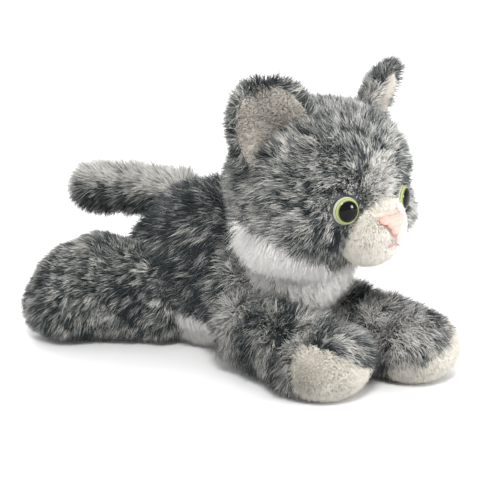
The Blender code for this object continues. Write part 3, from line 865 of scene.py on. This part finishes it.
def ear_skin(side):
    """Cupped ear: a rounded triangle that bulges backwards, with a thick soft rim."""
    rows, columns = 26, 30
    bm = bmesh.new()
    grid = {}
    for face, depth in (("front", -1.0), ("back", 1.0)):
        for i in range(rows + 1):
            z = EAR_LOW + EAR_TALL * i / rows
            half = ear_half(z)
            t = (z - EAR_LOW) / EAR_TALL
            for j in range(columns + 1):
                s = -1 + 2 * j / columns
                x = half * s
                edge = math.sqrt(max(0.0, 1 - s * s))
                thick = 2.3 * edge * min(1.0, (1 - t) * 6 + 0.15)
                cup = -4.6 * s * s * (1 - 0.5 * t) + 2.2 - 2.0 * t * t
                y = cup + depth * thick
                grid[face, i, j] = bm.verts.new(Vector(ear_point(side, x, y, z)) * MM)
    for face in ("front", "back"):
        for i in range(rows):
            for j in range(columns):
                corners = [grid[face, i, j], grid[face, i, j + 1], grid[face, i + 1, j + 1],
                           grid[face, i + 1, j]]
                bm.faces.new(corners if face == "front" else corners[::-1])
    bmesh.ops.remove_doubles(bm, verts=bm.verts, dist=0.05 * MM)
    bmesh.ops.holes_fill(bm, edges=[e for e in bm.edges if e.is_boundary], sides=0)
    bmesh.ops.recalc_face_normals(bm, faces=bm.faces)
    mesh = bpy.data.meshes.new("ear")
    bm.to_mesh(mesh)
    bm.free()
    obj = link("ear_skin_" + side, mesh)
    obj.data.shade_smooth()
    return obj


def ear_local(points, side):
    hinge = ear_point(side, 0, 0, 0)
    return (points - hinge) @ ear_turn(side)


def ear_rule(side, lining):
    """Pile of an ear: grey on its back and rim, short and beige on its lining."""
    mottle = Mottle(131 + (side == "left"), 0.05)
    turn = ear_turn(side)

    def rule(points, normal, rng, lead=None, centres=None, member=None):
        p = ear_local(points, side)
        n = normal @ turn
        rim = np.minimum(ear_half(p[:, 2]) - np.abs(p[:, 0]), EAR_LOW + EAR_TALL - p[:, 2])
        if lead is None:
            front = n[:, 1] < -0.15
            inner = front & (rim > 1.6)
            keep = inner if lining else ~inner
            keep &= ~inside(points, others("head"), 2)
            if lining:
                comb = np.zeros_like(points) + turn @ np.array((0, 0, 0.35))
            else:
                sideways = np.sign(p[:, 0]) * 0.55 * (np.abs(p[:, 0]) / 15)
                local = np.stack((sideways, np.zeros(len(p)), np.full(len(p), 0.45)), axis=1)
                comb = local @ turn.T
            return keep, comb, None, None
        if lining:
            # Painted shade: the lining is darker deep in the hollow of the cup. It is creamier towards the
            # top.
            hollow_shade = 1 - smooth_step(np.abs(p[:, 2] - 4) + np.abs(p[:, 0]) * 0.7, 3, 16)
            high = smooth_step(p[:, 2], 12, 24)[:, None]
            tone = BEIGE * (1 - 0.35 * hollow_shade)[:, None] + (CREAM - BEIGE) * high * 0.4
            shade = rng.uniform(0.88, 1.1, len(p))[:, None]
            return tone * shade, np.full(len(p), 1.0)
        return mottle(points, rng, lead, centres, member, -0.15), np.full(len(p), 1.0)

    return rule


def build_ears():
    for side in SIDES:
        skin = ear_skin(side)
        body = "ear_" + side
        wear(skin, BEIGE_BACK, body)
        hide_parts("ear_back_" + side, "ear_lining_" + side)
        odd = side == "left"
        grow_fur(body + "_fur", skin, body, PILE, ear_rule(side, False), 5.0, 111 + odd,
                 7.0, 0.32, 0.75)
        # The last numbers darken the strand roots: partly painted shade deep in the pile, partly the fibre's
        # own darker roots.
        grow_fur(body + "_lining_fur", skin, body, SHORT_PILE, ear_rule(side, True),
                 8.0, 121 + odd, 2.6, 0.28, 0.7, 0.45, 8, 0.2, (0.6, 0.9, 1.05))


# Eyes, nose and mouth ------------------------------------------------------------

def eye_look():
    """Black pupil, olive-green iris with a darker edge, thin pale rim and dark side; polished."""
    look, tree, shader = shader_of("eye", (0, 0, 0), 0.05, 0.18)
    ring = node(tree, "ShaderNodeAttribute", attribute_name="ring")
    where = node(tree, "ShaderNodeTexCoord")
    noise = node(tree, "ShaderNodeTexNoise", Scale=900.0, Detail=3.0)
    ramp = node(tree, "ShaderNodeValToRGB")
    stops = (
        (0.0, (0.001, 0.001, 0.0015)), (0.713, (0.001, 0.001, 0.0015)), (0.742, (0.10, 0.12, 0.035)),
        (0.805, (0.30, 0.35, 0.12)), (0.878, (0.42, 0.47, 0.20)), (0.902, (0.06, 0.07, 0.03)),
        (0.925, (0.66, 0.63, 0.50)), (RIM_AT, (0.66, 0.64, 0.52)), (0.976, (0.02, 0.022, 0.02)),
    )
    ramp.color_ramp.elements[0].position = 0.0
    ramp.color_ramp.elements[0].color = (*stops[0][1], 1)
    ramp.color_ramp.elements[1].position = stops[1][0]
    ramp.color_ramp.elements[1].color = (*stops[1][1], 1)
    for position, colour in stops[2:]:
        ramp.color_ramp.elements.new(position).color = (*colour, 1)
    span = node(tree, "ShaderNodeMapRange")
    span.inputs["To Min"].default_value = 0.85
    span.inputs["To Max"].default_value = 1.12
    mix = node(tree, "ShaderNodeVectorMath", operation="SCALE")
    tree.links.new(ring.outputs["Fac"], ramp.inputs["Fac"])
    tree.links.new(where.outputs["Object"], noise.inputs["Vector"])
    tree.links.new(noise.outputs["Fac"], span.inputs["Value"])
    tree.links.new(ramp.outputs["Color"], mix.inputs[0])
    tree.links.new(span.outputs["Result"], mix.inputs["Scale"])
    tree.links.new(mix.outputs["Vector"], shader.inputs["Base Color"])
    return look


EYE_R, EYE_HIGH, EYE_LIFT = 6.1, 3.8, 0.3
EYE_DEEP = 2.5     # depth of the plain side behind the dome
EYE_RINGS, EYE_AROUND = 40, 64
PUPIL_OFF = 0.45   # how far the pupil sits outwards and up
RIM_AT = 0.97      # the ring value at the rim of the dome


def eye_row(bm, layer, sign, turn, at, t):
    """One ring of the dome at a share of its radius, each point with its ring value."""
    row = []
    for j in range(EYE_AROUND):
        a = 2 * math.pi * j / EYE_AROUND
        x, z = EYE_R * t * math.cos(a), EYE_R * t * math.sin(a)
        y = -EYE_HIGH * math.sqrt(max(0.0, 1 - t ** 2.2))
        vert = bm.verts.new(Vector(at + turn @ np.array((x, y, z))) * MM)
        inward = PUPIL_OFF * (1 - t)
        vert[layer] = RIM_AT * min(1.0, math.hypot(x - sign * inward, z - inward) / EYE_R)
        row.append(vert)
    return row


def eye_mesh(sign):
    """Dome of rings, closed by a plain side and a flat back."""
    turn = HEAD_TURNED @ rot("Z", sign * EYE_OUT)
    at = on_head(EYE_AT[0] * sign, EYE_AT[1], EYE_AT[2]) + turn @ np.array((0, -EYE_LIFT, 0))
    bm = bmesh.new()
    layer = bm.verts.layers.float.new("ring")
    rows = [eye_row(bm, layer, sign, turn, at, i / EYE_RINGS) for i in range(1, EYE_RINGS + 1)]
    top = bm.verts.new(Vector(at + turn @ np.array((0, -EYE_HIGH, 0))) * MM)
    deeper = Vector(turn @ np.array((0, EYE_DEEP, 0))) * MM
    back = [bm.verts.new(v.co + deeper) for v in rows[-1]]
    for v in back:
        v[layer] = 1.0
    rows.append(back)
    for one, two in zip(rows, rows[1:]):
        for j in range(EYE_AROUND):
            k = (j + 1) % EYE_AROUND
            bm.faces.new((one[j], one[k], two[k], two[j]))
    for j in range(EYE_AROUND):
        bm.faces.new((top, rows[0][(j + 1) % EYE_AROUND], rows[0][j]))
    bm.faces.new(back[::-1])
    bmesh.ops.recalc_face_normals(bm, faces=bm.faces)
    mesh = bpy.data.meshes.new("eye")
    bm.to_mesh(mesh)
    bm.free()
    return mesh


def build_eyes():
    look = eye_look()
    for side, sign in SIDES.items():
        eye = link("eye_" + side, eye_mesh(sign))
        eye.data.shade_smooth()
        wear(eye, look, "head")
        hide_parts(*[f"eye_{part}_{side}" for part in ("dome", "iris", "post", "washer")])


def flock_look():
    """Pink flocked nose: soft grain and a lighter bloom."""
    look, tree, shader = shader_of("nose_flock", (0.85, 0.36, 0.31), 0.85, 0.2, 0.4)
    where = node(tree, "ShaderNodeTexCoord")
    noise = node(tree, "ShaderNodeTexNoise", Scale=1500.0, Detail=3.0)
    ramp = node(tree, "ShaderNodeValToRGB")
    ramp.color_ramp.elements[0].position = 0.3
    ramp.color_ramp.elements[0].color = (0.80, 0.33, 0.28, 1)
    ramp.color_ramp.elements[1].position = 0.7
    ramp.color_ramp.elements[1].color = (0.95, 0.50, 0.43, 1)
    bump = node(tree, "ShaderNodeBump", Strength=0.6, Distance=0.0003)
    tree.links.new(where.outputs["Object"], noise.inputs["Vector"])
    tree.links.new(noise.outputs["Fac"], ramp.inputs["Fac"])
    tree.links.new(ramp.outputs["Color"], shader.inputs["Base Color"])
    tree.links.new(noise.outputs["Fac"], bump.inputs["Height"])
    tree.links.new(bump.outputs["Normal"], shader.inputs["Normal"])
    return look


def build_nose():
    balls = [
        (on_head(x + FACE_SHIFT, y - FACE_OUT, z), r, HEAD_TURNED)
        for x, y, z, r in (
            (0, -42.4, -12.2, (5.8, 2.1, 2.0)), (-4.6, -41.5, -12.0, (3.0, 2.2, 1.9)),
            (4.6, -41.5, -12.0, (3.0, 2.2, 1.9)), (0, -43.0, -14.0, (4.1, 2.0, 2.3)),
            (0, -43.5, -16.7, (2.1, 1.6, 2.2)),
        )
    ]
    nose = blob("nose_pad", balls, 0.35, 8, puff=False)
    wear(nose, flock_look(), "head")
    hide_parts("nose")


def thread_look():
    look, tree, shader = shader_of("mouth_thread", (0.55, 0.22, 0.25), 0.6, 0.3, 0.3)
    where = node(tree, "ShaderNodeTexCoord")
    wave = node(tree, "ShaderNodeTexWave", Scale=900.0, Distortion=2.0)
    ramp = node(tree, "ShaderNodeValToRGB")
    ramp.color_ramp.elements[0].color = (0.36, 0.13, 0.16, 1)
    ramp.color_ramp.elements[1].color = (0.66, 0.30, 0.32, 1)
    tree.links.new(where.outputs["Object"], wave.inputs["Vector"])
    tree.links.new(wave.outputs["Fac"], ramp.inputs["Fac"])
    tree.links.new(ramp.outputs["Color"], shader.inputs["Base Color"])
    return look


def build_mouth():
    curve = bpy.data.curves.new("mouth", "CURVE")
    curve.dimensions = "3D"
    curve.bevel_depth = 0.34 * MM
    curve.bevel_resolution = 2
    curve.use_fill_caps = True
    lines = (
        ((0, -44.0, -18.2), (0, -44.2, -20.2), (0, -43.9, -22.4)),
        ((0, -44.0, -22.2), (1.6, -43.7, -23.6), (3.8, -42.7, -24.3)),
        ((0, -44.0, -22.2), (-1.4, -43.8, -23.4), (-3.2, -43.0, -23.9)),
    )
    for line in lines:
        spline = curve.splines.new("NURBS")
        spline.points.add(len(line) - 1)
        for point, (x, y, z) in zip(spline.points, line):
            point.co = (*(on_head(x + FACE_SHIFT, y - FACE_OUT, z) * MM), 1)
        spline.use_endpoint_u = True
        spline.order_u = 3
    mouth = link("mouth_thread", curve)
    mouth.data.materials.append(thread_look())
    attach(mouth, "head")
    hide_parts("mouth_stitch")


def build_neck():
    """Soft fill that bridges the head and the torso under the pile."""
    neck = blob("neck_skin", [(np.array((2.0, -38.0, 61.0)), (19, 17, 14), np.eye(3))])
    wear(neck, WHITE_BACK, "neck")
    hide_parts("neck_stuffing")


# Studio --------------------------------------------------------------------------

AIM = Vector((0.0, -0.005, 0.0526))
AZIMUTH, ELEVATION, DISTANCE = -42.0, 14.0, 0.68
SENSOR, LENS = 36, 105.06


def add_camera():
    a, e = math.radians(AZIMUTH), math.radians(ELEVATION)
    back = Vector((math.sin(a) * math.cos(e), -math.cos(a) * math.cos(e), math.sin(e)))
    data = bpy.data.cameras.new("camera")
    data.sensor_width = SENSOR
    data.lens = LENS
    data.clip_end = 20
    camera = bpy.data.objects.new("camera", data)
    bpy.context.scene.collection.objects.link(camera)
    camera.location = AIM + back * DISTANCE
    camera.rotation_euler = back.to_track_quat("Z", "Y").to_euler()
    bpy.context.scene.camera = camera


def add_lights():
    for name, place, size, power, target in (
        ("key", (-0.9, -0.9, 1.5), 0.4, 23.0, AIM),
        ("fill", (0.62, -1.4, 0.34), 0.34, 14.0, AIM),
        ("back", (0.3, 1.3, 1.2), 1.0, 12.0, AIM),
        ("far_floor", (1.2, 3.0, 1.7), 2.4, 30.0, Vector((1.2, 3.2, 0))),
    ):
        light = bpy.data.lights.new(name, "AREA")
        light.size = size
        light.energy = power
        lamp = bpy.data.objects.new(name, light)
        bpy.context.scene.collection.objects.link(lamp)
        lamp.location = place
        lamp.rotation_euler = (Vector(place) - target).to_track_quat("Z", "Y").to_euler()


def add_floor():
    bm = bmesh.new()
    bmesh.ops.create_grid(bm, x_segments=1, y_segments=1, size=6)
    mesh = bpy.data.meshes.new("floor")
    bm.to_mesh(mesh)
    bm.free()
    floor = link("floor", mesh)
    look, _, _ = shader_of("floor", (0.93, 0.93, 0.93), 0.8, 0.1)
    mesh.materials.append(look)


def add_world():
    world = bpy.data.worlds.new("world")
    bpy.context.scene.world = world
    world.use_nodes = True
    sky = world.node_tree.nodes["Background"]
    sky.inputs["Color"].default_value = (1, 1, 1, 1)
    sky.inputs["Strength"].default_value = 0.85
    bpy.context.scene.view_settings.view_transform = "Standard"


build_torso()
build_legs()
build_tail()
build_head()
build_ears()
build_eyes()
build_nose()
build_mouth()
build_neck()
add_camera()
add_lights()
add_floor()
add_world()
